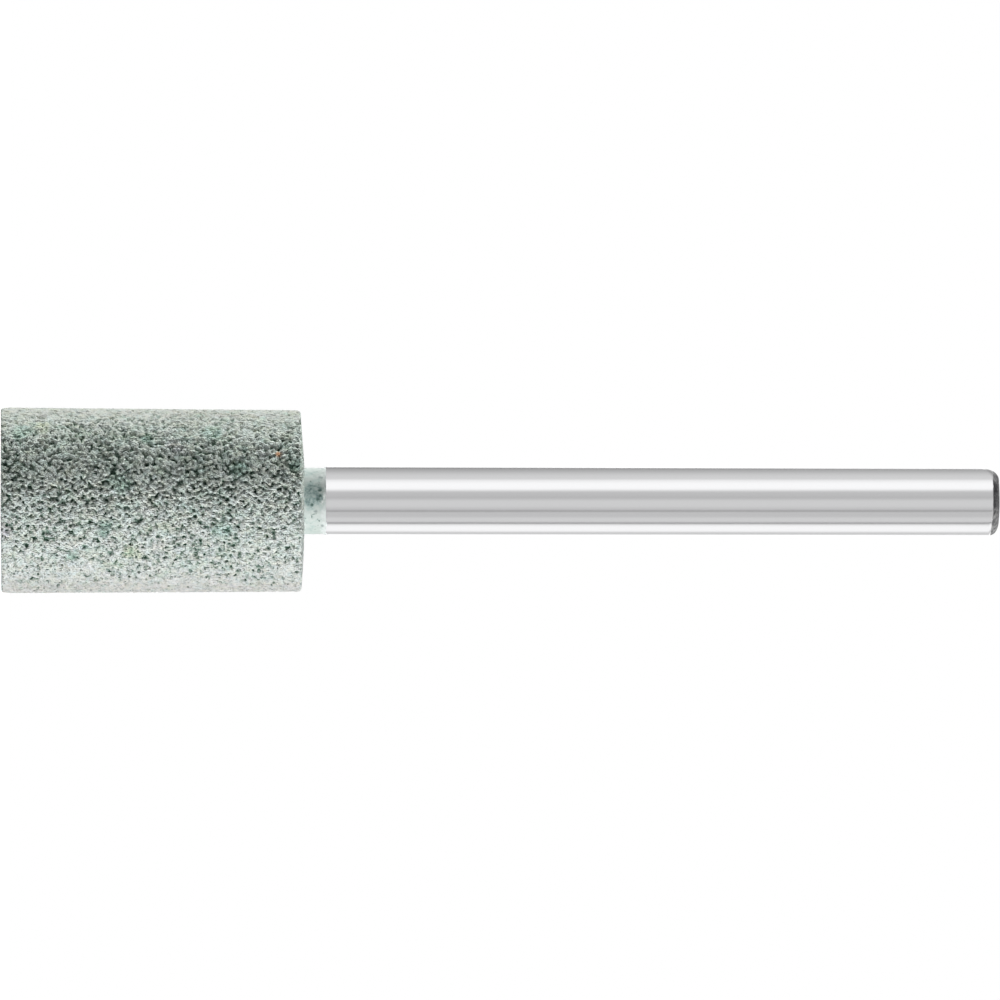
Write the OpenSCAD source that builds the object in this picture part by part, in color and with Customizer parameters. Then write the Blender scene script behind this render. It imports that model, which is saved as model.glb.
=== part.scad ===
// Mounted point: a cylindrical bonded-abrasive head cemented on a ground steel shank.
// Millimetres. The common axis is +Z and the origin is the centre of the head's flat
// working face, so the tool stands on its head with the shank pointing up.

/* [Abrasive head] */
// Diameter of the side, carried down to the working face
head_d = 8; // [6:0.1:14]
// Length from the working face to the top of the crowned back
head_l = 13.1; // [9:0.1:30]
// Draft of the moulded side in degrees, narrowing towards the shank
head_draft = 0.4; // [0:0.1:1.5]
// Rounding of the two rims
head_rim_r = 0.15; // [0.05:0.05:0.6]
// Height of the crown on the back face
head_crown = 0.15; // [0.05:0.05:0.5]
// Solid abrasive between the working face and the blind hole
head_floor = 4; // [2:0.5:5]

/* [Shank] */
// Diameter of the ground shank
shank_d = 3; // [2:0.05:4]
// Length of the steel that stands out of the head, neck included
shank_l = 29.9; // [15:0.1:60]
// Rounding of the free end's edge
tip_r = 0.65; // [0.2:0.05:0.8]
// Height of the dome on the free end
tip_dome = 0.1; // [0.02:0.01:0.2]

/* [Knurled anchor] */
// Step in radius by which the buried end is turned down from the shank
anchor_step = 0.2; // [0.1:0.05:0.4]
// Chamfer on the buried end
anchor_chamfer = 0.3; // [0.1:0.05:0.5]
// Number of lengthwise V grooves
flute_count = 12; // [8:1:16]
// Number of ring V grooves
ring_count = 5; // [2:1:5]
// Distance from one ring groove to the next
ring_pitch = 0.8; // [0.5:0.05:1]
// Depth of both kinds of groove
groove_depth = 0.14; // [0.06:0.02:0.24]
// Opening angle of the grooves in degrees
groove_angle = 90; // [60:5:100]

/* [Cement] */
// Radial clearance of the blind hole round the shank's diameter
cement_gap = 0.1; // [0.05:0.01:0.3]
// Depth of cement under the buried end
cement_pool = 0.25; // [0.1:0.05:0.6]
// Length of the cemented neck, from the head to the shank's shoulder
neck_l = 0.9; // [0.4:0.05:3]
// How far the neck lies below the shank's surface where it leaves the head
neck_root_drop = 0.05; // [0.02:0.01:0.06]
// How far it lies below the shank's surface at the shoulder
neck_drop = 0.08; // [0.07:0.01:0.09]

/* [Hidden] */

$fa = 1.5;
$fs = 0.03;
eps = 0.01; // cutters run this far past the face that they cut

// Head outline: the side line and the dome of the back, each met by the rim rounding
rim_z = head_l - head_crown;
rim_x = head_d / 2 - rim_z * tan(head_draft);
back_R = dome_radius(rim_x, head_crown);
back_centre = [0, head_l - back_R];
side_normal = [cos(head_draft), sin(head_draft)];
side_along = [-sin(head_draft), cos(head_draft)];
side_offset = head_d / 2 * cos(head_draft) - head_rim_r;
front_rim = [(side_offset - head_rim_r * sin(head_draft)) / cos(head_draft), head_rim_r];
back_rim = rounding_centre(side_normal, side_along, side_offset, back_centre, back_R - head_rim_r);

// Shank: its two ends, and the dome of the free end met by the edge rounding
shank_r = shank_d / 2;
shank_bottom = head_floor + cement_pool;
shank_top = head_l + shank_l;
shoulder_z = head_l + neck_l;
tip_R = dome_radius(shank_r, tip_dome);
tip_centre = [0, shank_top - tip_R];
tip_edge = rounding_centre([1, 0], [0, 1], shank_r - tip_r, tip_centre, tip_R - tip_r);

// Anchor: the ring grooves sit one pitch apart, starting half a pitch above the chamfer
anchor_r = shank_r - anchor_step;
groove_half_w = groove_depth * tan(groove_angle / 2);
knurl_bottom = shank_bottom + anchor_chamfer;
knurl_l = ring_count * ring_pitch;

// Blind hole for the anchor, and the cement's surface at the two ends of the neck
bore_r = shank_r + cement_gap;
neck_root_r = shank_r - neck_root_drop;
neck_top_r = shank_r - neck_drop;

// Radius of a dome of the given height over a circle of radius r
function dome_radius(r, height) = (r * r + height * height) / (2 * height);

// Centre of a rounding whose distance from a side line is already taken off its offset,
// and which lies the given reach from a dome's centre
function rounding_centre(normal, along, offset, dome_centre, reach) =
    let (
        off_line = offset - dome_centre * normal,
        step = sqrt(reach * reach - off_line * off_line)
    )
    dome_centre + off_line * normal + step * along;

// Point of a dome that a rounding with this centre touches
function dome_touch(centre, dome_centre, dome_R, rounding_r) =
    dome_centre + (centre - dome_centre) * dome_R / (dome_R - rounding_r);

// Cap of a dome above the height of its touching point
module dome_cap(dome_centre, dome_R, touch, top) {
    intersection() {
        translate(dome_centre) circle(dome_R);
        translate([0, touch.y]) square([touch.x, top - touch.y + eps]);
    }
}

// Half section of the head without its hole
module head_section() {
    touch = dome_touch(back_rim, back_centre, back_R, head_rim_r);
    polygon([
        [0, 0],
        [front_rim.x, 0],
        front_rim,
        front_rim + head_rim_r * side_normal,
        back_rim + head_rim_r * side_normal,
        back_rim,
        touch,
        [0, touch.y]
    ]);
    translate(front_rim) circle(head_rim_r);
    translate(back_rim) circle(head_rim_r);
    dome_cap(back_centre, back_R, touch, head_l);
}

module head_blank() {
    rotate_extrude() head_section();
}

module blind_hole() {
    translate([0, 0, head_floor]) cylinder(r = bore_r, h = head_l);
}

// Half section of the shank before its anchor is knurled
module shank_section() {
    touch = dome_touch(tip_edge, tip_centre, tip_R, tip_r);
    polygon([
        [0, shank_bottom],
        [anchor_r - anchor_chamfer, shank_bottom],
        [anchor_r, shank_bottom + anchor_chamfer],
        [anchor_r, shoulder_z],
        [shank_r, shoulder_z],
        [shank_r, tip_edge.y],
        tip_edge,
        touch,
        [0, touch.y]
    ]);
    translate(tip_edge) circle(tip_r);
    dome_cap(tip_centre, tip_R, touch, shank_top);
}

// V groove section, with its bottom on the x axis at the groove depth inside the anchor
module groove_section() {
    mouth = groove_half_w + eps * tan(groove_angle / 2);
    polygon([
        [anchor_r - groove_depth, 0],
        [anchor_r + eps, mouth],
        [anchor_r + eps, -mouth]
    ]);
}

module ring_groove(height) {
    translate([0, 0, height]) rotate_extrude() groove_section();
}

module flute(angle) {
    rotate([0, 0, angle])
        translate([0, 0, shank_bottom - eps])
            linear_extrude(knurl_bottom + knurl_l - shank_bottom + eps) groove_section();
}

// The moulded head with the blind hole that takes the anchor
module abrasive_head() {
    color([0.72, 0.76, 0.72])
        difference() {
            head_blank();
            blind_hole();
        }
}

// The turned and ground shank with its cross-knurled anchor
module shank() {
    color([0.78, 0.78, 0.79])
        difference() {
            rotate_extrude() shank_section();
            for (i = [0 : flute_count - 1]) flute(i * 360 / flute_count);
            for (i = [0 : ring_count - 1]) ring_groove(knurl_bottom + (i + 0.5) * ring_pitch);
        }
}

// The cement that fills the hole round the anchor and tapers up the neck to the shoulder
module bonding_cement() {
    color([0.74, 0.82, 0.79])
        difference() {
            union() {
                intersection() {
                    head_blank();
                    blind_hole();
                }
                translate([0, 0, rim_z])
                    cylinder(r1 = neck_root_r, r2 = neck_top_r, h = shoulder_z - rim_z);
            }
            shank();
        }
}

abrasive_head();
shank();
bonding_cement();
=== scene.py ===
import math

import bpy
import numpy as np
from mathutils import Matrix, Vector


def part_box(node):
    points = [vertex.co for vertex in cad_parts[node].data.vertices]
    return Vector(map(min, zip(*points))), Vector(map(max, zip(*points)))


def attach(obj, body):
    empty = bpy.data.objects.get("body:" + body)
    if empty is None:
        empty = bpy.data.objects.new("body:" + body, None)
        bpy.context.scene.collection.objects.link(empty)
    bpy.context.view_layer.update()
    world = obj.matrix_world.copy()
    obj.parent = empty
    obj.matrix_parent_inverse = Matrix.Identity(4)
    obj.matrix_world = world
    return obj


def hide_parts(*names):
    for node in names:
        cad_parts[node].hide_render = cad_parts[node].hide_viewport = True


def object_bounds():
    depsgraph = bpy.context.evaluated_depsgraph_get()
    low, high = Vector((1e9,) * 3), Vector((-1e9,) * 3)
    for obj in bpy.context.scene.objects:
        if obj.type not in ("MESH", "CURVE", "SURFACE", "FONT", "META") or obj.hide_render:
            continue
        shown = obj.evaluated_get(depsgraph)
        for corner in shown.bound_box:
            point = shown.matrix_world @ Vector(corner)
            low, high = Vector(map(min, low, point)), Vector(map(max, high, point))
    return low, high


# Mounted point: a porous bonded-abrasive head cemented on a ground steel shank.
# It stands on its head. Mesh builders work in millimetres, objects are in metres.

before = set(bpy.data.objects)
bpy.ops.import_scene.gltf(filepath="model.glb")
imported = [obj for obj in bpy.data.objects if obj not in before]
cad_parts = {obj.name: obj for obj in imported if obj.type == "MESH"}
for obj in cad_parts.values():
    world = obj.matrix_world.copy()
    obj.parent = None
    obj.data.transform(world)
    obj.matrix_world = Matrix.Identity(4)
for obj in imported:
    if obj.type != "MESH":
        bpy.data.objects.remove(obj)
cad_low, cad_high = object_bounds()

MM = 0.001
BODY = "root"

# Abrasive head
HEAD_D = 8.0
HEAD_L = 13.1
HEAD_DRAFT = math.radians(0.4)
HEAD_RIM_R = 0.15
HEAD_CROWN = 0.15
HEAD_FLOOR = 4.0

# Shank and its buried anchor
SHANK_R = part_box("shank")[1].x / MM
SHANK_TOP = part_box("shank")[1].z / MM
SHANK_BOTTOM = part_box("shank")[0].z / MM
ANCHOR_R = SHANK_R - 0.2
ANCHOR_CHAMFER = 0.3
FLUTE_COUNT = 12
RING_COUNT = 5
RING_PITCH = 0.8
GROOVE_DEPTH = 0.14
KNURL_START = SHANK_BOTTOM + ANCHOR_CHAMFER
KNURL_END = KNURL_START + RING_COUNT * RING_PITCH
TOLERANCE = 1e-6
TIP_DOME = 0.1

# Uneven rounding of the free end: its reach along the axis and inwards, each with a change from
# side to side, its shorter reach along the axis at front and back, and a short step on one side
# just before the dark end
TIP_ALONG = 0.63
TIP_ALONG_SKEW = 0.27
TIP_ALONG_FRONT = 0.3
TIP_SIDE_POWER = 6
TIP_INWARD = 0.58
TIP_INWARD_SKEW = -0.06
TIP_STEP = 0.085
TIP_STEP_START = 0.41
TIP_STEP_END = 0.35

# Cement round the anchor and on the neck
HOLE_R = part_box("bonding_cement")[1].x / MM
SHOULDER_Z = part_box("bonding_cement")[1].z / MM
NECK_ROOT_R = SHANK_R - 0.05
NECK_TOP_R = SHANK_R - 0.08
NECK_SEAT = 0.03

# Uneven surface of the neck, and its flare where it meets the shank's shoulder
NECK_LUMPS = (
    # height, size, seed
    (0.03, 0.5, 51),
    (0.02, 0.14, 52),
)
NECK_SINK = 0.04
NECK_FLARE = 0.06
NECK_FLARE_L = 0.14

# Mesh resolution: the disc rings set the number of segments round the head's side
DISC_RINGS = 48
HEAD_SEGMENTS = 8 * DISC_RINGS
SIDE_ROWS = 198
RIM_ROWS = 3
HOLE_RING = 18
TURNED_SEGMENTS = 192
ROWS_PER_GROOVE = 8
BODY_ROWS = 60
TIP_ROWS = 36
DOME_ROWS = 9
NECK_ROWS = 28
SHARP_ANGLE = math.radians(50)

# Numbers that mix a grid position into a code
WORD = 2 ** 32
HASH_PRIMES = (73856093, 19349663, 83492791)
HASH_SEED = 2654435761
HASH_ROUNDS = (
    # shift, factor
    (16, 0x7FEB352D),
    (15, 0x846CA68B),
)
HASH_LAST_SHIFT = 16

# Grain and pore sizes of the bonded abrasive
GRAIN = 0.138
FINE_GRAIN = 0.078
PORE = 0.19
GRAIN_STRETCH = 1.2
PATCH = 1.6
GRAIN_SEED = 11
FINE_SEED = 23
PATCH_SEED = 37
WARP_SEED = 41
CAST_SEED = 61

# Relief of the head and the painted shade in its pores: edges are counted in grain sizes, depths in
# millimetres
WARP_SIZE = 0.11
WARP_REACH = 0.07
GRAIN_REACH = 0.75
PORE_EDGE = (0.48, 0.78)
PORE_SHADE_EDGE = (0.54, 0.82)
PATCH_IN_PORES = 0.15
LOST_GRAINS = (0.95, 0.99)
LOST_EDGE = (0.0, 0.2)
PATCH_IN_LOST = 0.2
TONE_DEPTH = 0.006
DOME_DEPTH = 0.055
PORE_DEPTH = 0.085
LOST_DEPTH = 0.035
PORE_PAINTED_SHADE = 0.75
LOST_PAINTED_SHADE = 0.35
GRAIN_TOP = 0.012
MIN_PIT = 0.002
MAX_PIT = 0.18
RIM_WEAR = (
    # depth, side, range across, range of heights
    (0.05, -1, (1.0, 3.2), (HEAD_L - 0.45, HEAD_L - 0.12)),
    (0.035, 1, (0.0, 3.5), (0.3, 0.0)),
)

# Faint colour tints of the head: painted cool light that makes its upper side greener, tinted spots, and
# one odd grain
UPPER_PAINTED_LIGHT = (251, 255, 251)
LOWER_PAINTED_LIGHT = (255, 254, 255)
PAINTED_LIGHT_ACROSS = (-2.2, 2.2)
TEAL = (239, 253, 249)
DARK_TEAL = (210, 227, 222)
YELLOW = (254, 254, 244)
LAVENDER = (253, 248, 254)
HEAD_SPOTS = (
    # height, place across, radius, colour
    (6.32, -2.7, 0.36, DARK_TEAL),
    (5.1, -0.78, 0.5, TEAL),
    (10.24, -1.44, 0.5, DARK_TEAL),
    (12.75, -1.58, 0.38, DARK_TEAL),
    (9.12, -2.98, 0.54, TEAL),
    (4.45, 1.27, 0.36, DARK_TEAL),
    (9.58, 1.27, 0.5, TEAL),
    (0.91, -2.98, 0.5, TEAL),
    (3.15, 2.43, 0.31, DARK_TEAL),
    (5.66, 2.27, 0.43, YELLOW),
    (6.98, 1.15, 0.31, YELLOW),
    (1.83, -3.17, 0.34, YELLOW),
    (6.86, 2.1, 0.38, LAVENDER),
    (7.54, -2.38, 0.43, LAVENDER),
    (0.15, 1.24, 0.38, LAVENDER),
)
SPOT_SHIFT_SIZE = 0.3
SPOT_SHIFT = 0.3
SPOT_OUTSIDE = 1.25
SPOT_INSIDE = 0.5
ODD_GRAIN = (-2.02, -3.36, 11.94)
ODD_GRAIN_EDGE = (0.19, 0.07)

# Painted detail of the head, with painted shade in the gaps between grains and in small pores: edges are
# counted in cell sizes
PAINT_WARP_SIZE = 0.1
PAINT_WARP = 0.08
GAP_EDGE = (0.5, 0.85)
GAP_PAINTED_SHADE = 0.22
HOLE_EDGE = (0.46, 0.26)
HOLE_PAINTED_SHADE = 0.42
SPECK = 0.08
SPECK_DARK = 0.08
GREEN_PATCH = 0.5
BLUE_PATCH = 0.43
FACET_TILT = 0.7

# Calmer look of the head's side at a flat angle to the view: from which cosine of that angle, on which
# normals and in which views it counts, how it fades downwards, and what is left there of the painted
# shade in the pores and of the bumps; and the colour of the painted shade that darkens that side
FLAT_FACING = (0.8, 0.35)
SIDE_NORMAL = (0.8, 0.3)
LEVEL_VIEW = (0.8, 0.5)
CALM_ACROSS = (-3.0, 3.0, 1.0, 0.5)
CALM_DARK = 0.58
CALM_RELIEF = 0.34
FLAT_VIEW_PAINTED_SHADE = (224, 218, 219)

# Painted shade on the neck's front, where the light is weakest, and single specks of the cement
NECK_PAINTED_SHADE = (-0.25, -1.4, 13.46)
NECK_PAINTED_SHADE_EDGE = (0.6, 0.44)
NECK_PAINTED_SHADE_RAGGED = 0.14
NECK_PAINTED_SHADE_TONE = (0.35, 0.65, 0.1, 0.3)
SHADE_PATCH_NOISE = 0.13
CEMENT_SPECKS = (
    (-0.46, -1.34, 13.73),
    (-0.23, -1.4, 13.75),
    (-0.06, -1.42, 13.65),
    (0.17, -1.41, 13.38),
)
CEMENT_FLECKS = (
    (-1.02, -0.98, 13.73),
    (-1.0, -1.0, 13.82),
    (-1.36, -0.34, 13.85),
    (0.45, -1.34, 13.55),
    (1.06, -0.92, 13.84),
)
SPECK_EDGE = (0.1, 0.04)
SPECK_WARP_SIZE = 0.15
SPECK_WARP = 0.12

# Tones of the cement: clouds, its darker lower side, dots, pale edges at the steel, and a whiter edge
# there as painted light in the shaded corner at the shoulder
CLOUD = 0.3
LOW_SIDE = (0.95, 1.3)
DOT = 0.17
DOT_EDGE = (0.66, 0.74)
EDGE_RAGGED = 0.1
PALE_EDGE = (SHOULDER_Z - 0.22, SHOULDER_Z - 0.08)
PALE_IN_PAINTED_SHADE = 0.3
LAST_EDGE = (SHOULDER_Z - 0.08, SHOULDER_Z - 0.03)
CORNER_PAINTED_LIGHT_EDGE = (SHOULDER_Z - 0.16, SHOULDER_Z - 0.06)

# Dark cut end of the steel, lighter at its upper and lower sides as painted light, cement traces at its
# neck and faint waves along it
CUT_EDGE = (SHANK_TOP - 0.32, SHANK_TOP - 0.29)
CUT_RAGGED_SIZE = 0.25
CUT_RAGGED = 0.01
CUT_SLANT = (0.5, 1.5, 0.0, 0.12)
MOTTLE = 0.2
CUT_LOWER_PAINTED_LIGHT = (0.2, 0.6, -0.05, 0.06)
CUT_UPPER_PAINTED_LIGHT = (-0.7, -0.95, 0.0, 0.11)
DRIP = 0.2
DRIP_REACH = (0.35, 0.7, -0.1, 0.1)
TRACE_EDGE = (SHOULDER_Z - 0.02, SHOULDER_Z - 0.05)
TRACE_GAP = NECK_PAINTED_SHADE[0] - 0.25
TRACE_GAP_EDGE = (0.4, 0.55)
BRIGHT_ROUGHNESS = 0.16
MATT_ROUGHNESS = 0.5
WAVE = 0.6
WAVE_SQUEEZE = 0.12

# Range that holds most values of a noise texture, and sockets of the node that mixes colours
NOISE_RANGE = (0.3, 0.7)
MIX_SHARE = 0
MIX_FIRST = 6
MIX_SECOND = 7
MIX_RESULT = 2

# Framing of the photograph, in its own pixels
IMAGE_SIZE = 1000
FACE_PIXEL = 0.5
END_PIXEL = 999.7
AXIS_PIXEL = 501.3
AXIS_ROLL = math.radians(0.113)
CAMERA_DISTANCE = 2.0
CAMERA_HEIGHT = 0.0005
CAMERA_REACH = 20
SENSOR = 36.0

# World and floor: the brighter patch of the world lies straight below
AMBIENT = 0.14
UNDER_LIGHT = 0.9
UNDER_EDGE = (-0.55, -0.8)
WHITE = (1, 1, 1, 1)
FLOOR_HALF = 6.0
FLOOR_FADE = (25.0, 110.0)
FLOOR_GLOW = 0.18
FLOOR_UNSEEN = (0.12, 0.12, 0.12)
FLOOR_SEEN = (0.85, 0.85, 0.85)

# Angles of the studio light are counted about the tool's axis, from the camera towards image top
LAMPS = (
    # name, angle, elevation, distance, size, level
    ("lower_light", -64, 3.5, 0.5, (0.16, 0.1), 1.22),
    ("upper_light", 104, 3.5, 0.5, (0.16, 0.1), 1.23),
    ("top_light", 0, 86, 0.6, (0.3, 0.3), 0.5),
)
TENT_RADIUS = 0.09
TENT_LOW = -0.3
TENT_HIGH = 0.6
TENT_STEP = 0.5
ROWS_BELOW = 7
ROWS_BESIDE = 31
ROWS_ABOVE = 16
TENT_TWIST = 150.0
TWIST_START = 0.014
TWIST_END = 0.06
TENT_LEVEL = 1.0
STRIPS = (
    # centre, half width, soft edge, level
    (-9, 12, 8, 0.98),
    (17.5, 14, 7, 0.8),
    (12, 3, 5, 0.73),
    (56, 19, 6, 1.36),
    (51, 14, 14, 1.54),
    (146, 36, 50, 0.58),
    (142, 8, 6, 0.43),
    (-26, 5, 8, 0.86),
    (-33.6, 3, 4, 0.45),
    (-47, 9, 10, 0.83),
    (-78.5, 3.5, 4, 0.42),
    (-104, 19, 14, 1.5),
    (-140, 13, 34, 0.85),
)
BACK_LEVEL = 1.5
BACK_LOWER_EDGE = 217.0
BACK_UPPER_EDGE = 150.0
BACK_UPPER_SHIFT = -370.0
BACK_SOFT_EDGE = 4
BACK_END = (0.046, 0.054)


# Numbers from positions

def scramble(whole, seed):
    """A number from 0 to 1 for each row of whole numbers, the same on every run."""
    mixed = whole.astype(np.int64).astype(np.uint32) * np.array(HASH_PRIMES, dtype=np.uint32)
    code = mixed[..., 0] ^ mixed[..., 1] ^ mixed[..., 2] ^ np.uint32(seed * HASH_SEED % WORD)
    for shift, factor in HASH_ROUNDS:
        code = code ^ (code >> np.uint32(shift))
        code = code * np.uint32(factor)
    code = code ^ (code >> np.uint32(HASH_LAST_SHIFT))
    return code / float(WORD)


def smooth(value, low, high):
    """0 below low, 1 above high, with a smooth step between."""
    share = np.clip((value - low) / (high - low), 0, 1)
    return share * share * (3 - 2 * share)


def soft_noise(points, spacing, seed):
    """Smooth noise from 0 to 1 whose features are about the spacing in size."""
    scaled = points / spacing
    corner = np.floor(scaled)
    share = smooth(scaled - corner, 0, 1)
    total = np.zeros(len(points))
    for offset in np.ndindex(2, 2, 2):
        step = np.array(offset)
        weight = np.prod(np.where(step == 1, share, 1 - share), axis=1)
        total += weight * scramble(corner + step, seed)
    return total


def cells(points, spacing, seed):
    """Distances to the nearest two of scattered grain centres, and two numbers per grain."""
    scaled = points / spacing
    corner = np.floor(scaled)
    nearest = np.full(len(points), np.inf)
    second = np.full(len(points), np.inf)
    owner = np.zeros_like(corner)
    for offset in np.ndindex(3, 3, 3):
        cell = corner + np.array(offset) - 1
        jitter = np.stack([scramble(cell, seed + axis) for axis in range(3)], axis=1)
        gap = np.linalg.norm(cell + jitter - scaled, axis=1)
        closer = gap < nearest
        second = np.where(closer, nearest, np.minimum(second, gap))
        owner[closer] = cell[closer]
        nearest = np.minimum(nearest, gap)
    height = scramble(owner, seed + 3)
    tone = scramble(owner, seed + 4)
    return nearest, second, height, tone


def srgb(red, green, blue):
    """Linear colour from the 0 to 255 values of a picture."""
    def line(value):
        share = value / 255
        return share / 12.92 if share <= 0.04045 else ((share + 0.055) / 1.055) ** 2.4
    return line(red), line(green), line(blue)


# Mesh helpers

def make_object(name, points_mm, faces, sharp_angle=None):
    """A smooth-shaded mesh object from points in millimetres, with sharp edges above an angle."""
    mesh = bpy.data.meshes.new(name)
    mesh.from_pydata((points_mm * MM).tolist(), [], faces)
    mesh.shade_smooth()
    if sharp_angle is not None:
        mesh.set_sharp_from_angle(angle=sharp_angle)
    mesh.update()
    made = bpy.data.objects.new(name, mesh)
    bpy.context.scene.collection.objects.link(made)
    return made


def paint(piece, name, values):
    """A colour attribute with three numbers per vertex."""
    layer = piece.data.color_attributes.new(name, "FLOAT_COLOR", "POINT")
    full = np.ones((len(values), 4), np.float32)
    full[:, :3] = values
    layer.data.foreach_set("color", full.ravel())


def circle(segments):
    """Unit directions round the axis."""
    turn = np.arange(segments) * 2 * math.pi / segments
    return np.stack([np.cos(turn), np.sin(turn)], axis=1)


def ring_faces(lower, upper):
    """Quads between two rings of vertex numbers, facing out when upper lies above lower."""
    after = np.roll(np.arange(len(lower)), -1)
    return np.stack([lower, lower[after], upper[after], upper], axis=1).tolist()


def dome_radius(radius, height):
    """Radius of a dome of the given height over a circle."""
    return (radius * radius + height * height) / (2 * height)


def lathe(profile, segments, radius_at):
    """Points and faces of a turned solid whose profile starts and ends on the axis."""
    around = circle(segments)
    points = [np.array([[0, 0, profile[0][1]]])]
    for radius, height in profile[1:-1]:
        flat = around * radius_at(radius, height)[:, None]
        points.append(np.column_stack([flat, np.full(segments, height)]))
    points.append(np.array([[0, 0, profile[-1][1]]]))
    count = len(profile) - 2
    rings = [1 + row * segments + np.arange(segments) for row in range(count)]
    faces = []
    for lower, upper in zip(rings, rings[1:]):
        faces += ring_faces(lower, upper)
    last = 1 + count * segments
    for number in range(segments):
        after = (number + 1) % segments
        faces.append([0, int(rings[0][after]), int(rings[0][number])])
        faces.append([last, int(rings[-1][number]), int(rings[-1][after])])
    return np.concatenate(points), faces


# The abrasive head

def head_profile():
    """Rows of the rims and the side: radius, height and the outward normal in that plane."""
    side = np.array([math.cos(HEAD_DRAFT), math.sin(HEAD_DRAFT)])
    offset = HEAD_D / 2 * side[0] - HEAD_RIM_R
    front = np.array([(offset - HEAD_RIM_R * side[1]) / side[0], HEAD_RIM_R])
    rim_z = HEAD_L - HEAD_CROWN
    dome_r = dome_radius(HEAD_D / 2 - rim_z * math.tan(HEAD_DRAFT), HEAD_CROWN)
    dome_centre = np.array([0, HEAD_L - dome_r])
    off_line = offset - dome_centre @ side
    along = np.array([-side[1], side[0]])
    reach = math.sqrt((dome_r - HEAD_RIM_R) ** 2 - off_line ** 2)
    back = dome_centre + off_line * side + reach * along
    back_end = math.atan2(*(back - dome_centre)[::-1])

    rows = []
    for angle in np.linspace(-math.pi / 2, HEAD_DRAFT, RIM_ROWS + 1):
        normal = np.array([math.cos(angle), math.sin(angle)])
        rows.append((front + HEAD_RIM_R * normal, normal))
    start = front + HEAD_RIM_R * side
    end = back + HEAD_RIM_R * side
    for share in np.linspace(0, 1, SIDE_ROWS + 1)[1:]:
        rows.append((start + (end - start) * share, side))
    for angle in np.linspace(HEAD_DRAFT, back_end, RIM_ROWS + 1)[1:]:
        normal = np.array([math.cos(angle), math.sin(angle)])
        rows.append((back + HEAD_RIM_R * normal, normal))
    return rows, dome_centre[1], dome_r


def disc_grid():
    """A square grid mapped on a disc: ring number and direction of each grid point."""
    index = np.arange(-DISC_RINGS, DISC_RINGS + 1)
    across, along = (grid.ravel().astype(float) for grid in np.meshgrid(index, index, indexing="ij"))
    ring = np.maximum(np.abs(across), np.abs(along))
    wide = np.abs(across) > np.abs(along)
    longer = np.where(wide, across, along)
    shorter = np.where(wide, along, across)
    ratio = shorter / np.where(longer == 0, 1, longer)
    eighth = math.pi / 4
    turn = np.where(wide, eighth * ratio, math.pi / 2 - eighth * ratio)
    sign = np.where(longer < 0, -1.0, 1.0)
    direction = np.stack([np.cos(turn), np.sin(turn)], axis=1) * sign[:, None]
    return ring.astype(int), direction


def pits(points):
    """Depth below the moulded surface in millimetres, and the share of painted shade in the pores, tone
    and tint.
    """
    warp = np.stack([soft_noise(points, WARP_SIZE, WARP_SEED + axis) for axis in range(3)], axis=1) - 0.5
    bent = (points + WARP_REACH * warp) / (1, 1, GRAIN_STRETCH)
    patch = soft_noise(points, PATCH, PATCH_SEED) - 0.5
    near, second, height, tone = cells(bent, GRAIN, GRAIN_SEED)
    _, _, _, tint = cells(bent, FINE_GRAIN, FINE_SEED)
    dome = np.clip(near / GRAIN_REACH, 0, 1) ** 2
    spread = near + PATCH_IN_PORES * patch
    pore = smooth(spread, *PORE_EDGE)
    lost = smooth(height + PATCH_IN_LOST * patch, *LOST_GRAINS) * smooth(second - near, *LOST_EDGE)
    depth = TONE_DEPTH * tone + DOME_DEPTH * dome + PORE_DEPTH * pore + LOST_DEPTH * lost - GRAIN_TOP
    # Painted shade: the pores and the hollows of lost grains are darkened in the colour
    dark = PORE_PAINTED_SHADE * smooth(spread, *PORE_SHADE_EDGE) + LOST_PAINTED_SHADE * lost
    return np.clip(depth, MIN_PIT, MAX_PIT), np.stack([np.clip(dark, 0, 1), tone, tint], axis=1)


def tint_spots_and_painted_light(points):
    """Colour that multiplies the grains: greener above as painted cool light on the shaded upper side,
    with faint tinted patches as in the photo.
    """
    shift = soft_noise(points, SPOT_SHIFT_SIZE, CAST_SEED) - 0.5
    # Painted cool light: the upper side greener than the lower
    share = smooth(points[:, 0], *PAINTED_LIGHT_ACROSS)[:, None]
    colour = np.array(srgb(*UPPER_PAINTED_LIGHT)) * (1 - share) + np.array(srgb(*LOWER_PAINTED_LIGHT)) * share
    for height, across, reach, tint in HEAD_SPOTS:
        centre = (across, -math.sqrt((HEAD_D / 2) ** 2 - across ** 2), height)
        apart = np.linalg.norm(points - centre, axis=1) + SPOT_SHIFT * shift
        share = smooth(apart, SPOT_OUTSIDE * reach, SPOT_INSIDE * reach)[:, None]
        colour *= 1 - share + np.array(srgb(*tint)) * share
    return colour


def wear(points):
    """Extra depth at one side of each rim, where the photo shows the ends a little out of square."""
    across, _, height = points.T
    depth = np.zeros(len(points))
    for most, side, places, heights in RIM_WEAR:
        depth += most * smooth(side * across, *places) * smooth(height, *heights)
    return depth


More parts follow.
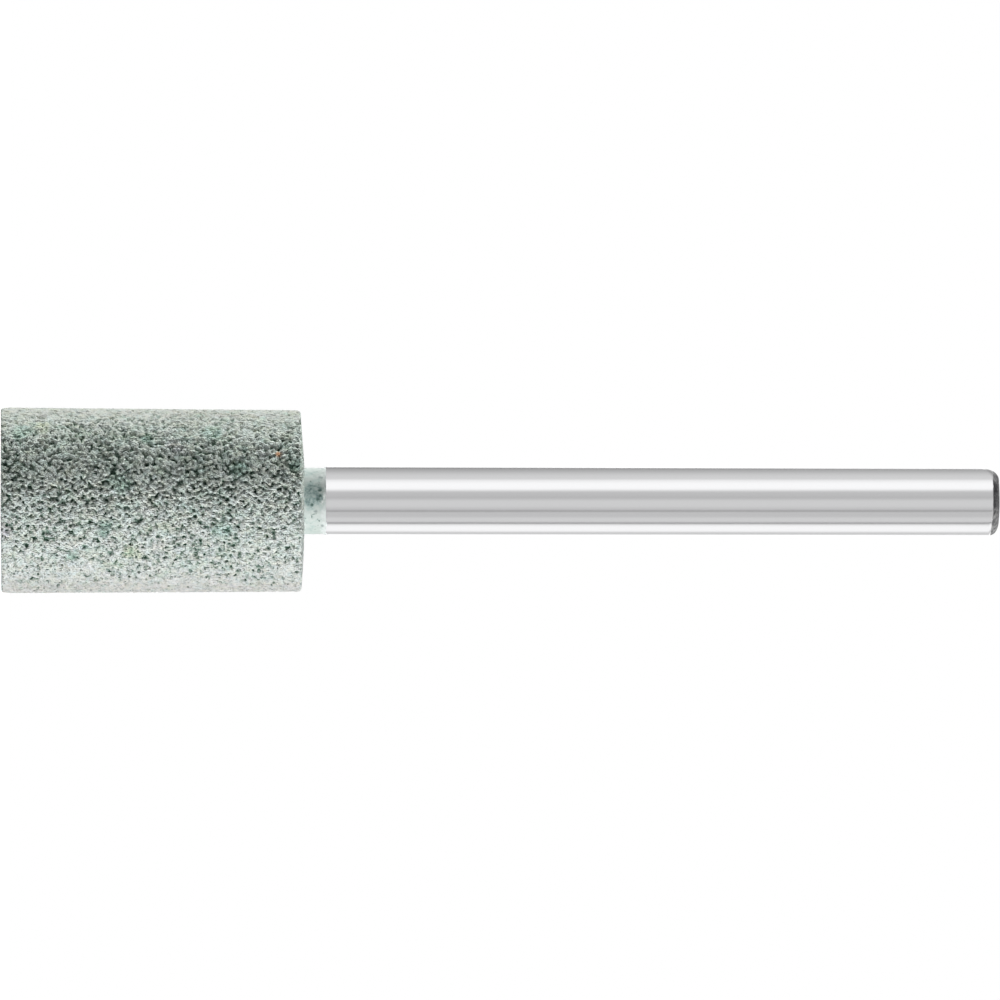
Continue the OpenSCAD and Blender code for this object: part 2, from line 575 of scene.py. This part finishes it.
def build_head():
    """Side, both ends and blind hole of the head, with its pits cut in along the surface's normals."""
    rows, dome_z, dome_r = head_profile()
    around = circle(HEAD_SEGMENTS)
    points = []
    normals = []
    for (radius, height), (out, up) in rows:
        points.append(np.column_stack([around * radius, np.full(HEAD_SEGMENTS, height)]))
        normals.append(np.column_stack([around * out, np.full(HEAD_SEGMENTS, up)]))
    rings = [row * HEAD_SEGMENTS + np.arange(HEAD_SEGMENTS) for row in range(len(rows))]
    faces = []
    for lower, upper in zip(rings, rings[1:]):
        faces += ring_faces(lower, upper)

    ring, direction = disc_grid()
    side_count = 2 * DISC_RINGS + 1
    bearing = np.arctan2(direction[:, 1], direction[:, 0])
    segment = np.round(bearing / (2 * math.pi) * HEAD_SEGMENTS).astype(int) % HEAD_SEGMENTS
    count = len(rows) * HEAD_SEGMENTS

    def add_disc(edge_ring, first_ring, radius, height, up):
        """An end of the head inside its edge ring, from the first ring outwards."""
        nonlocal count
        number = np.where(ring == DISC_RINGS, edge_ring[segment], -1)
        inner = (ring < DISC_RINGS) & (ring >= first_ring)
        number[inner] = count + np.arange(inner.sum())
        count += int(inner.sum())
        flat = direction[inner] * radius[ring[inner]][:, None]
        points.append(np.column_stack([flat, height(radius[ring[inner]])]))
        normals.append(np.tile([0.0, 0.0, up], (int(inner.sum()), 1)))
        grid = number.reshape(side_count, side_count)
        corners = (grid[:-1, :-1], grid[1:, :-1], grid[1:, 1:], grid[:-1, 1:])
        quads = np.stack(corners, axis=-1).reshape(-1, 4)
        quads = quads[(quads >= 0).all(axis=1)]
        faces.extend((quads if up > 0 else quads[:, ::-1]).tolist())
        return number

    steps = np.arange(DISC_RINGS + 1)
    front_radius = rows[0][0][0] * steps / DISC_RINGS
    add_disc(rings[0], 0, front_radius, np.zeros_like, -1.0)
    edge = rows[-1][0][0]
    back_radius = HOLE_R + (edge - HOLE_R) * (steps - HOLE_RING) / (DISC_RINGS - HOLE_RING)
    number = add_disc(
        rings[-1], HOLE_RING, back_radius,
        lambda radius: dome_z + np.sqrt(dome_r ** 2 - radius ** 2), 1.0)

    mouth = np.flatnonzero(ring == HOLE_RING)
    mouth = number[mouth[np.argsort(bearing[mouth])]]
    floor_ring = np.concatenate(points)[mouth]
    floor_ring[:, 2] = HEAD_FLOOR
    points.append(floor_ring)
    normals.append(np.zeros_like(floor_ring))
    bottom = count + np.arange(len(mouth))
    faces += ring_faces(mouth, bottom)
    faces.append(bottom.tolist())

    points = np.concatenate(points)
    normals = np.concatenate(normals)
    depth, colours = pits(points)
    depth += wear(points)
    head = make_object("abrasive_head_surface", points - normals * depth[:, None], faces)
    paint(head, "grain", colours)
    paint(head, "spots_and_painted_light", tint_spots_and_painted_light(points))
    # The normals from before the pits tell the material how flat the view is
    moulded = head.data.attributes.new("moulded", "FLOAT_VECTOR", "POINT")
    moulded.data.foreach_set("vector", normals.astype(np.float32).ravel())
    return head


# The shank

def tip_dome(radius):
    """Height of the free end's slight dome at a radius."""
    reach = dome_radius(SHANK_R, TIP_DOME)
    return SHANK_TOP - reach + math.sqrt(reach ** 2 - radius ** 2)


def tip_range():
    """Heights between which the free end's edge is rounded."""
    high = tip_dome(SHANK_R - TIP_INWARD)
    return high - TIP_ALONG - TIP_ALONG_SKEW, high


def shank_profile():
    """Turned outline of the shank from the buried end to the domed free end."""
    rows = [(0, SHANK_BOTTOM), (ANCHOR_R - ANCHOR_CHAMFER, SHANK_BOTTOM)]
    for step in range(RING_COUNT * ROWS_PER_GROOVE + 1):
        rows.append((ANCHOR_R, KNURL_START + step * RING_PITCH / ROWS_PER_GROOVE))
    rows.append((ANCHOR_R, SHOULDER_Z))
    rows.append((SHANK_R, SHOULDER_Z))
    low, high = tip_range()
    for share in np.linspace(0, 1, BODY_ROWS + 1)[1:]:
        rows.append((SHANK_R, SHOULDER_Z + (low - SHOULDER_Z) * share))
    for turn in np.linspace(0, math.pi / 2, TIP_ROWS + 1)[1:]:
        rows.append((SHANK_R, low + (high - low) * math.sin(turn)))
    for share in np.linspace(1, 0, DOME_ROWS + 1)[1:-1]:
        radius = (SHANK_R - TIP_INWARD) * share
        rows.append((radius, tip_dome(radius)))
    rows.append((0, SHANK_TOP))
    return rows


def shank_radius(segments):
    """Radius of each ring, with the anchor's V grooves and the uneven rounding of the free end."""
    turn = np.arange(segments) / segments * FLUTE_COUNT
    from_flute = np.abs(turn - np.round(turn)) / FLUTE_COUNT * 2 * math.pi * ANCHOR_R
    flute = np.clip(GROOVE_DEPTH - from_flute, 0, None)
    side = -circle(segments)[:, 0]
    along = TIP_ALONG + TIP_ALONG_SKEW * side - TIP_ALONG_FRONT
    along = TIP_ALONG_FRONT + along * np.abs(side) ** TIP_SIDE_POWER
    inward = TIP_INWARD + TIP_INWARD_SKEW * side
    step = TIP_STEP * np.clip(-side, 0, 1) ** TIP_SIDE_POWER
    tip_low, tip_high = tip_range()

    def radius_at(radius, height):
        if KNURL_START <= height <= KNURL_END + TOLERANCE:
            place = (height - KNURL_START) / RING_PITCH - 0.5
            ring = max(0.0, GROOVE_DEPTH - abs(place - round(place)) * RING_PITCH)
            return radius - np.maximum(flute, ring)
        if radius < SHANK_R - TIP_INWARD and height > tip_high:
            return radius * (SHANK_R - step - inward) / (SHANK_R - TIP_INWARD)
        if radius == SHANK_R and height > tip_low:
            share = np.clip(1 - (tip_high - height) / along, 0, 1)
            stepped = step * smooth(tip_high - height, TIP_STEP_START, TIP_STEP_END)
            return SHANK_R - stepped - inward * (1 - np.sqrt(1 - share ** 2))
        return np.full(segments, radius)

    return radius_at


def build_shank():
    """The bright shank with its dark free end, and the knurled anchor inside the head."""
    points, faces = lathe(shank_profile(), TURNED_SEGMENTS, shank_radius(TURNED_SEGMENTS))
    return make_object("shank_surface", points, faces, SHARP_ANGLE)


# The cement

def build_cement():
    """Cement in the hole round the anchor, and the slightly lumpy neck up to the shoulder."""
    neck_start = HEAD_L - NECK_SEAT
    profile = [(0, HEAD_FLOOR), (HOLE_R, HEAD_FLOOR), (HOLE_R, neck_start)]
    for height in np.linspace(neck_start, SHOULDER_Z, NECK_ROWS):
        profile.append((NECK_ROOT_R, height))
    profile += [(ANCHOR_R, SHOULDER_Z), (ANCHOR_R, SHANK_BOTTOM), (0, SHANK_BOTTOM)]
    around = circle(TURNED_SEGMENTS) * SHANK_R

    def radius_at(radius, height):
        if radius != NECK_ROOT_R:
            return np.full(TURNED_SEGMENTS, radius)
        places = np.column_stack([around, np.full(TURNED_SEGMENTS, height)])
        lumps = sum(rise * soft_noise(places, size, seed) for rise, size, seed in NECK_LUMPS)
        share = np.clip((height - HEAD_L) / (SHOULDER_Z - HEAD_L), 0, 1)
        flare = NECK_FLARE * smooth(height, SHOULDER_Z - NECK_FLARE_L, SHOULDER_Z)
        return NECK_ROOT_R + (NECK_TOP_R - NECK_ROOT_R) * share + lumps + flare - NECK_SINK

    points, faces = lathe(profile, TURNED_SEGMENTS, radius_at)
    return make_object("bonding_cement_surface", points, faces, SHARP_ANGLE)


# Materials

class Shader:
    """The node tree of a material or world, with short calls for adding and joining nodes."""

    def __init__(self, owner):
        owner.use_nodes = True
        self.owner = owner
        self.tree = owner.node_tree

    def feed(self, node, socket, value):
        """Join an output to an input, or set the input's own value."""
        target = node.inputs[socket]
        if isinstance(value, bpy.types.NodeSocket):
            self.tree.links.new(value, target)
        else:
            target.default_value = value

    def add(self, kind, inputs=None, **settings):
        """A new node with its settings, and its inputs by socket."""
        made = self.tree.nodes.new(kind)
        for key, value in settings.items():
            setattr(made, key, value)
        for socket, value in (inputs or {}).items():
            self.feed(made, socket, value)
        return made

    def set(self, **values):
        """Feed the surface's inputs, with _ for a space in their names, and return the material."""
        surface = self.tree.nodes["Principled BSDF"]
        for key, value in values.items():
            self.feed(surface, key.replace("_", " "), value)
        return self.owner

    def vectors(self, operation, *values):
        """Outputs of one step on vectors: Vector, or Value where the result is a number."""
        made = self.add("ShaderNodeVectorMath", dict(enumerate(values)), operation=operation)
        return made.outputs

    def place(self):
        """Position in millimetres in the tool's own frame."""
        where = self.add("ShaderNodeTexCoord").outputs["Object"]
        inputs = {"Vector": where, "Scale": 1 / MM}
        return self.add("ShaderNodeVectorMath", inputs, operation="SCALE").outputs["Vector"]

    def axes(self, vector):
        """The vector's parts X, Y and Z."""
        return self.add("ShaderNodeSeparateXYZ", {"Vector": vector}).outputs

    def squeezed(self, vector, share):
        """The position with its height scaled, so that a texture gets longer along the axis."""
        made = self.add("ShaderNodeMapping", {"Vector": vector, "Scale": (1.0, 1.0, share)})
        return made.outputs["Vector"]

    def clouds(self, vector, size, detail=2.0, roughness=0.5):
        """Outputs of a noise texture."""
        inputs = {"Vector": vector, "Scale": 1 / size, "Detail": detail, "Roughness": roughness}
        return self.add("ShaderNodeTexNoise", inputs).outputs

    def noise(self, vector, size, detail=2.0, roughness=0.5):
        """Noise from 0 to 1."""
        return self.clouds(vector, size, detail, roughness)["Fac"]

    def cells(self, vector, size):
        """Outputs of a texture of scattered cells."""
        made = self.add("ShaderNodeTexVoronoi", {"Vector": vector, "Scale": 1 / size}, feature="F1")
        return made.outputs

    def centred(self, colour):
        """A random colour as a vector to any side of zero."""
        return self.vectors("SUBTRACT", colour, (0.5, 0.5, 0.5))["Vector"]

    def warp(self, vector, size, amount_mm):
        """The position shifted a little by noise, for uneven shapes."""
        shift = self.centred(self.clouds(vector, size)["Color"])
        amounts = (amount_mm, amount_mm, amount_mm)
        return self.vectors("MULTIPLY_ADD", shift, amounts, vector)["Vector"]

    def tilt(self, colour, amount):
        """The surface normal leaned by a random amount per cell, so that each cell is a facet."""
        normal = self.add("ShaderNodeNewGeometry").outputs["Normal"]
        leaned = self.vectors("MULTIPLY_ADD", self.centred(colour), amount, normal)["Vector"]
        return self.vectors("NORMALIZE", leaned)["Vector"]

    def bump(self, height, strength, distance_mm, normal=None):
        """The normal of a surface with small bumps, on top of another normal if there is one."""
        inputs = {"Height": height, "Strength": strength, "Distance": distance_mm * MM}
        if normal is not None:
            inputs["Normal"] = normal
        return self.add("ShaderNodeBump", inputs).outputs["Normal"]

    def math(self, operation, first, second=0.0):
        """One step on numbers."""
        return self.add("ShaderNodeMath", {0: first, 1: second}, operation=operation).outputs[0]

    def total(self, first, *others):
        """Sum of numbers."""
        for other in others:
            first = self.math("ADD", first, other)
        return first

    def product(self, first, *others):
        """Product of numbers."""
        for other in others:
            first = self.math("MULTIPLY", first, other)
        return first

    def rest(self, share):
        """What is left of 1."""
        return self.math("SUBTRACT", 1.0, share)

    def span(self, value, low, high, start=0.0, end=1.0, step="LINEAR"):
        """The range from low to high mapped on start to end, and held beyond both."""
        inputs = {"Value": value, "From Min": low, "From Max": high, "To Min": start, "To Max": end}
        return self.add("ShaderNodeMapRange", inputs, interpolation_type=step).outputs["Result"]

    def swing(self, noise, amount):
        """Noise as a number to either side of zero, by the amount at most."""
        return self.span(noise, *NOISE_RANGE, -amount, amount)

    def fade(self, share, end):
        """1 where the share is 0, and the end where it is 1."""
        return self.span(share, 0.0, 1.0, 1.0, end)

    def ramp(self, value, stops):
        """Colour that follows a value through stops of place and picture colour."""
        made = self.add("ShaderNodeValToRGB", {"Fac": value})
        band = made.color_ramp
        while len(band.elements) < len(stops):
            band.elements.new(1.0)
        for element, (place, colour) in zip(band.elements, stops):
            element.position = place
            element.color = (*srgb(*colour), 1.0)
        return made.outputs["Color"]

    def mix(self, share, first, second, blend="MIX"):
        """The second colour over the first, by its share."""
        made = self.add("ShaderNodeMix", {MIX_SHARE: share}, data_type="RGBA", blend_type=blend)
        for socket, colour in ((MIX_FIRST, first), (MIX_SECOND, second)):
            joined = isinstance(colour, bpy.types.NodeSocket)
            self.feed(made, socket, colour if joined else (*colour, 1.0))
        return made.outputs[MIX_RESULT]

    def tinted(self, base, colour, share=1.0):
        """The base colour multiplied by another, by its share."""
        return self.mix(share, base, colour, "MULTIPLY")


def flat_view(shader):
    """1 where the head's side is seen at a flat angle, 0 on its ends and in views from high above."""
    moulded = shader.add("ShaderNodeAttribute", attribute_name="moulded").outputs["Vector"]
    incoming = shader.add("ShaderNodeNewGeometry").outputs["Incoming"]
    facing = shader.vectors("DOT_PRODUCT", moulded, incoming)["Value"]
    upright = shader.math("ABSOLUTE", shader.axes(moulded)["Z"])
    rising = shader.math("ABSOLUTE", shader.axes(incoming)["Z"])
    return shader.product(
        shader.span(facing, *FLAT_FACING),
        shader.span(upright, *SIDE_NORMAL),
        shader.span(rising, *LEVEL_VIEW))


def abrasive_material():
    """Pale grey-green angular grains with painted shade in their pores, faint tints with painted cool
    light on the upper side, calmer and darkened with painted shade at flat view angles.
    """
    shader = Shader(bpy.data.materials.new("bonded_abrasive"))
    place = shader.place()
    # The grain layer holds the painted shade of the pores, each grain's tone and its tint
    layers = shader.add("ShaderNodeVertexColor", layer_name="grain").outputs["Color"]
    parts = shader.add("ShaderNodeSeparateColor", {"Color": layers}).outputs
    pore, tone, tint = (parts[name] for name in ("Red", "Green", "Blue"))
    bent = shader.squeezed(shader.warp(place, PAINT_WARP_SIZE, PAINT_WARP), 1 / GRAIN_STRETCH)
    fine = shader.cells(bent, FINE_GRAIN)
    gap = shader.span(fine["Distance"], *GAP_EDGE)
    hole = shader.span(shader.cells(bent, PORE)["Distance"], *HOLE_EDGE)
    speck = shader.noise(place, SPECK, detail=3.0, roughness=0.6)
    # Darkness of the colour: painted shade in the pores, in the gaps between grains and in small pores,
    # and random specks of tone
    dark = shader.total(
        pore,
        shader.swing(speck, SPECK_DARK),
        shader.product(gap, GAP_PAINTED_SHADE),
        shader.product(hole, HOLE_PAINTED_SHADE))
    flat = flat_view(shader)
    calm = shader.product(flat, shader.span(shader.axes(place)["X"], *CALM_ACROSS))
    dark = shader.product(dark, shader.fade(calm, CALM_DARK))
    base = shader.ramp(dark, (
        (0.1, (241, 245, 242)),
        (0.4, (231, 237, 232)),
        (0.72, (142, 162, 150)),
        (1.0, (56, 79, 66)),
    ))
    green = shader.ramp(shader.noise(place, GREEN_PATCH, detail=1.5), (
        (0.26, (251, 252, 252)),
        (0.5, (248, 252, 250)),
        (0.62, (245, 252, 249)),
        (0.74, (237, 251, 246)),
    ))
    blue = shader.ramp(shader.noise(bent, BLUE_PATCH, detail=1.5), (
        (0.26, (254, 254, 247)),
        (0.5, (254, 254, 254)),
        (0.74, (251, 253, 255)),
    ))
    spots_and_painted_light = shader.add("ShaderNodeVertexColor", layer_name="spots_and_painted_light").outputs["Color"]
    for colour in (green, blue, spots_and_painted_light):
        base = shader.tinted(base, colour)
    # Painted shade, warm grey, over the side where it is seen at a flat angle
    base = shader.tinted(base, srgb(*FLAT_VIEW_PAINTED_SHADE), flat)
    shade = shader.ramp(tone, ((0.0, (236, 236, 236)), (1.0, (255, 255, 255))))
    grains = shader.ramp(tint, (
        (0.0, (254, 252, 248)),
        (0.5, (255, 255, 255)),
        (1.0, (247, 252, 255)),
    ))
    for colour in (shade, grains):
        base = shader.tinted(base, colour)
    apart = shader.vectors("DISTANCE", place, ODD_GRAIN)["Value"]
    base = shader.mix(shader.span(apart, *ODD_GRAIN_EDGE), base, srgb(254, 200, 156))
    relief = shader.fade(calm, CALM_RELIEF)
    dome = shader.rest(shader.math("POWER", fine["Distance"], 2.0))
    normal = shader.tilt(fine["Color"], shader.product(relief, FACET_TILT))
    normal = shader.bump(dome, strength=relief, distance_mm=0.1, normal=normal)
    normal = shader.bump(shader.rest(hole), strength=0.6, distance_mm=0.05, normal=normal)
    normal = shader.bump(speck, strength=0.4, distance_mm=0.03, normal=normal)
    return shader.set(Base_Color=base, Roughness=0.72, Specular_IOR_Level=0.2, Normal=normal)


def steel_material():
    """Ground and polished steel, with cement traces at the neck and a dark rough cut end, lighter at its
    upper and lower sides as painted light.
    """
    shader = Shader(bpy.data.materials.new("ground_steel"))
    place = shader.place()
    axes = shader.axes(place)
    height = shader.total(
        axes["Z"],
        shader.swing(shader.noise(place, CUT_RAGGED_SIZE, detail=3.0), CUT_RAGGED),
        shader.span(axes["X"], *CUT_SLANT))
    cut = shader.span(height, *CUT_EDGE)
    # Painted light: the dark end gets lighter towards its upper and lower sides
    mottle_and_painted_light = shader.total(
        shader.noise(place, MOTTLE, detail=3.0, roughness=0.65),
        shader.span(axes["X"], *CUT_LOWER_PAINTED_LIGHT),
        shader.span(axes["X"], *CUT_UPPER_PAINTED_LIGHT))
    dark = shader.ramp(mottle_and_painted_light, (
        (0.32, (54, 54, 55)),
        (0.5, (80, 80, 81)),
        (0.68, (134, 134, 134)),
    ))
    base = shader.mix(cut, srgb(206, 206, 207), dark)
    drips = shader.span(shader.noise(place, DRIP, detail=3.0, roughness=0.6), *DRIP_REACH)
    beside = shader.math("ABSOLUTE", shader.math("SUBTRACT", axes["X"], TRACE_GAP))
    trace = shader.product(
        shader.span(shader.total(axes["Z"], drips), *TRACE_EDGE),
        shader.span(beside, *TRACE_GAP_EDGE))
    base = shader.mix(trace, base, srgb(226, 232, 231))
    matt = shader.math("MAXIMUM", cut, trace)
    waves = shader.noise(shader.squeezed(place, WAVE_SQUEEZE), WAVE)
    return shader.set(
        Base_Color=base,
        Metallic=shader.rest(matt),
        Roughness=shader.span(matt, 0.0, 1.0, BRIGHT_ROUGHNESS, MATT_ROUGHNESS),
        Specular_IOR_Level=0.1,
        Normal=shader.bump(waves, strength=0.1, distance_mm=0.02))


def cement_material():
    """Matte pale green cement with darker clouds, painted shade on the neck's front, specks, and a
    whitish edge at the steel that is brightened as painted light in the shaded corner there.
    """
    shader = Shader(bpy.data.materials.new("cement"))
    place = shader.place()
    axes = shader.axes(place)
    # Painted shade: a ragged darker patch on the neck's front, where the light is weakest
    far = shader.vectors("DISTANCE", place, NECK_PAINTED_SHADE)["Value"]
    shade_patch_noise = shader.noise(place, SHADE_PATCH_NOISE, roughness=0.6)
    inside = shader.span(shader.total(far, shader.swing(shade_patch_noise, NECK_PAINTED_SHADE_RAGGED)), *NECK_PAINTED_SHADE_EDGE)
    neck_painted_shade = shader.product(inside, shader.span(shade_patch_noise, *NECK_PAINTED_SHADE_TONE))
    # The cement's clouds, darkened by the painted shade on the neck's front
    clouds = shader.math("SUBTRACT", shader.noise(place, CLOUD, detail=4.0, roughness=0.7), neck_painted_shade)
    base = shader.ramp(clouds, (
        (0.1, (104, 121, 120)),
        (0.22, (138, 157, 155)),
        (0.34, (170, 187, 184)),
        (0.46, (190, 199, 195)),
        (0.64, (197, 204, 201)),
    ))
    base = shader.tinted(base, srgb(238, 240, 239), shader.span(axes["X"], *LOW_SIDE))
    dots = shader.noise(place, DOT, detail=1.5, roughness=0.55)
    edge = shader.total(axes["Z"], shader.swing(dots, EDGE_RAGGED))
    pale = shader.product(shader.span(edge, *PALE_EDGE), shader.fade(inside, PALE_IN_PAINTED_SHADE))
    pale = shader.math("MAXIMUM", pale, shader.span(edge, *LAST_EDGE))
    base = shader.mix(pale, base, srgb(210, 215, 214))
    # Whitish fringe at the steel, made whiter as painted light in the shaded corner at the shoulder
    corner_painted_light = shader.product(inside, shader.span(edge, *CORNER_PAINTED_LIGHT_EDGE))
    base = shader.mix(corner_painted_light, base, srgb(248, 250, 249))
    base = shader.mix(shader.span(dots, *DOT_EDGE), base, srgb(112, 132, 126))
    bent = shader.warp(place, SPECK_WARP_SIZE, SPECK_WARP)
    for centres, colour in ((CEMENT_SPECKS, srgb(84, 106, 100)), (CEMENT_FLECKS, srgb(148, 158, 156))):
        for centre in centres:
            near = shader.vectors("DISTANCE", bent, centre)["Value"]
            base = shader.mix(shader.span(near, *SPECK_EDGE), base, colour)
    normal = shader.bump(dots, strength=0.4, distance_mm=0.03)
    return shader.set(Base_Color=base, Roughness=0.55, Specular_IOR_Level=0.3, Normal=normal)


# Studio

def seen_directly(shader):
    """1 for rays from the camera, from gloss or through glass."""
    rays = shader.add("ShaderNodeLightPath").outputs
    share = rays["Is Camera Ray"]
    for name in ("Is Glossy Ray", "Is Transmission Ray"):
        share = shader.math("MAXIMUM", share, rays[name])
    return share


def build_world():
    """White where it is seen; as light, dim and even with a brighter patch straight below."""
    world = bpy.data.worlds.new("studio")
    bpy.context.scene.world = world
    shader = Shader(world)
    facing = shader.add("ShaderNodeTexCoord").outputs["Generated"]
    light = shader.span(shader.axes(facing)["Z"], *UNDER_EDGE, AMBIENT, UNDER_LIGHT)
    background = shader.tree.nodes["Background"]
    shader.feed(background, "Color", WHITE)
    shader.feed(background, "Strength", shader.span(seen_directly(shader), 0.0, 1.0, light, 1.0))


def build_floor():
    """Pale floor that keeps the tool's shadow and fades to white away from it."""
    corners = np.array([[-1, -1, 0], [1, -1, 0], [1, 1, 0], [-1, 1, 0]]) * FLOOR_HALF / MM
    floor = make_object("floor", corners, [[0, 1, 2, 3]])
    shader = Shader(bpy.data.materials.new("floor"))
    apart = shader.vectors("LENGTH", shader.place())["Value"]
    fade = shader.span(apart, *FLOOR_FADE, FLOOR_GLOW, 1.0, step="SMOOTHSTEP")
    seen = seen_directly(shader)
    floor.data.materials.append(shader.set(
        Base_Color=shader.mix(seen, FLOOR_UNSEEN, FLOOR_SEEN),
        Roughness=0.9,
        Specular_IOR_Level=0.0,
        Emission_Color=WHITE,
        Emission_Strength=shader.product(fade, seen)))
    floor.visible_diffuse = False
    floor.visible_glossy = False


def heading(angle):
    """Direction at an angle about the tool's axis, from the camera towards image top."""
    turn = math.radians(angle)
    return np.array([-math.sin(turn), -math.cos(turn), 0.0])


def area_lamp(name, angle, elevation, distance, size, level):
    """A soft lamp that gives a white matte card facing it the level."""
    lamp = bpy.data.lights.new(name, "AREA")
    lamp.shape = "RECTANGLE"
    lamp.size, lamp.size_y = size
    lamp.energy = level * (math.pi * distance) ** 2
    made = bpy.data.objects.new(name, lamp)
    rise = math.radians(elevation)
    target = Vector((0, 0, cad_high.z / 2))
    away = Vector(heading(angle)) * math.cos(rise) + Vector((0, 0, math.sin(rise)))
    made.location = target + away * distance
    made.rotation_euler = away.to_track_quat("Z", "Y").to_euler()
    made.visible_camera = False
    made.visible_glossy = False
    bpy.context.scene.collection.objects.link(made)


def along_twist(height):
    """Height counted from where the tent's strips keep their own angles."""
    return np.clip(height, 0, TWIST_END) - TWIST_START


def strip_share(angles, centre, half, edge):
    """1 inside a strip of the tent, 0 outside, with soft edges."""
    apart = np.abs((angles - centre + 180) % 360 - 180)
    return 1 - smooth(apart, half - edge / 2, half + edge / 2)


def tent_level(angles, height):
    """Brightness of the tent round the tool at one height: strip lights, flags and the white back."""
    level = np.full(len(angles), TENT_LEVEL)
    for centre, half, edge, value in STRIPS:
        share = strip_share(angles, centre, half, edge)
        level = level * (1 - share) + value * share
    upper = BACK_UPPER_EDGE + BACK_UPPER_SHIFT * along_twist(height)
    middle = (BACK_LOWER_EDGE + upper) / 2
    half = (BACK_LOWER_EDGE - upper) / 2
    upper_side = (angles % 360) < 180
    share = strip_share(angles, middle, half, BACK_SOFT_EDGE)
    share = share * (1 - smooth(height, *BACK_END) * upper_side)
    return level * (1 - share) + BACK_LEVEL * share


def build_tent():
    """White tent with strip lights and flags that only gloss shows, also from above the floor."""
    angles = np.arange(-180, 180, TENT_STEP)
    below = np.linspace(TENT_LOW, 0, ROWS_BELOW)
    beside = np.linspace(0, TWIST_END, ROWS_BESIDE)
    above = np.linspace(TWIST_END, TENT_HIGH, ROWS_ABOVE)
    heights = np.concatenate([below[:-1], beside[:-1], above])
    rings = []
    levels = []
    faces = []
    number = np.arange(len(angles))
    for row, height in enumerate(heights):
        turned = angles + TENT_TWIST * along_twist(height)
        ring = np.array([heading(angle) for angle in turned]) * TENT_RADIUS
        ring[:, 2] = height
        rings.append(ring / MM)
        levels.append(tent_level(angles, height))
        if row > 0:
            faces += ring_faces(number + (row - 1) * len(angles), number + row * len(angles))
    tent = make_object("tent", np.concatenate(rings), faces)
    paint(tent, "level", np.concatenate(levels)[:, None])
    shader = Shader(bpy.data.materials.new("tent"))
    level = shader.add("ShaderNodeVertexColor", layer_name="level").outputs["Color"]
    glow = shader.add("ShaderNodeEmission", {"Color": level}).outputs["Emission"]
    shader.feed(shader.tree.nodes["Material Output"], "Surface", glow)
    tent.data.materials.append(shader.owner)
    for ray in ("camera", "diffuse", "transmission", "volume_scatter", "shadow"):
        setattr(tent, "visible_" + ray, False)


def build_camera():
    """Side view with the tool's axis across the picture, head at the left."""
    pixels_per_mm = (END_PIXEL - FACE_PIXEL) / SHANK_TOP
    middle = (IMAGE_SIZE / 2 - FACE_PIXEL) / pixels_per_mm * MM
    offset = (IMAGE_SIZE / 2 - AXIS_PIXEL) / pixels_per_mm * MM
    lens = bpy.data.cameras.new("camera")
    lens.sensor_width = SENSOR
    lens.lens = SENSOR * CAMERA_DISTANCE / (IMAGE_SIZE / pixels_per_mm * MM)
    lens.clip_end = CAMERA_REACH
    place = Vector((offset, -CAMERA_DISTANCE, CAMERA_HEIGHT))
    forward = (Vector((offset, 0, middle)) - place).normalized()
    right = (Vector((0, 0, 1)) - forward * forward.z).normalized()
    up = right.cross(forward)
    turned = right * math.cos(AXIS_ROLL) + up * math.sin(AXIS_ROLL)
    up = turned.cross(forward)
    made = bpy.data.objects.new("camera", lens)
    made.matrix_world = Matrix((turned, up, -forward)).transposed().to_4x4()
    made.location = place
    bpy.context.scene.collection.objects.link(made)
    bpy.context.scene.camera = made


def dress(piece, node, material):
    """Give a piece its material, hang it on the body, and hide the part's node that it stands for."""
    piece.data.materials.append(material)
    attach(piece, BODY)
    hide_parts(node)


bpy.context.scene.view_settings.view_transform = "Standard"
build_camera()
build_world()
build_floor()
build_tent()
for lamp in LAMPS:
    area_lamp(*lamp)

dress(build_head(), "abrasive_head", abrasive_material())
dress(build_shank(), "shank", steel_material())
dress(build_cement(), "bonding_cement", cement_material())
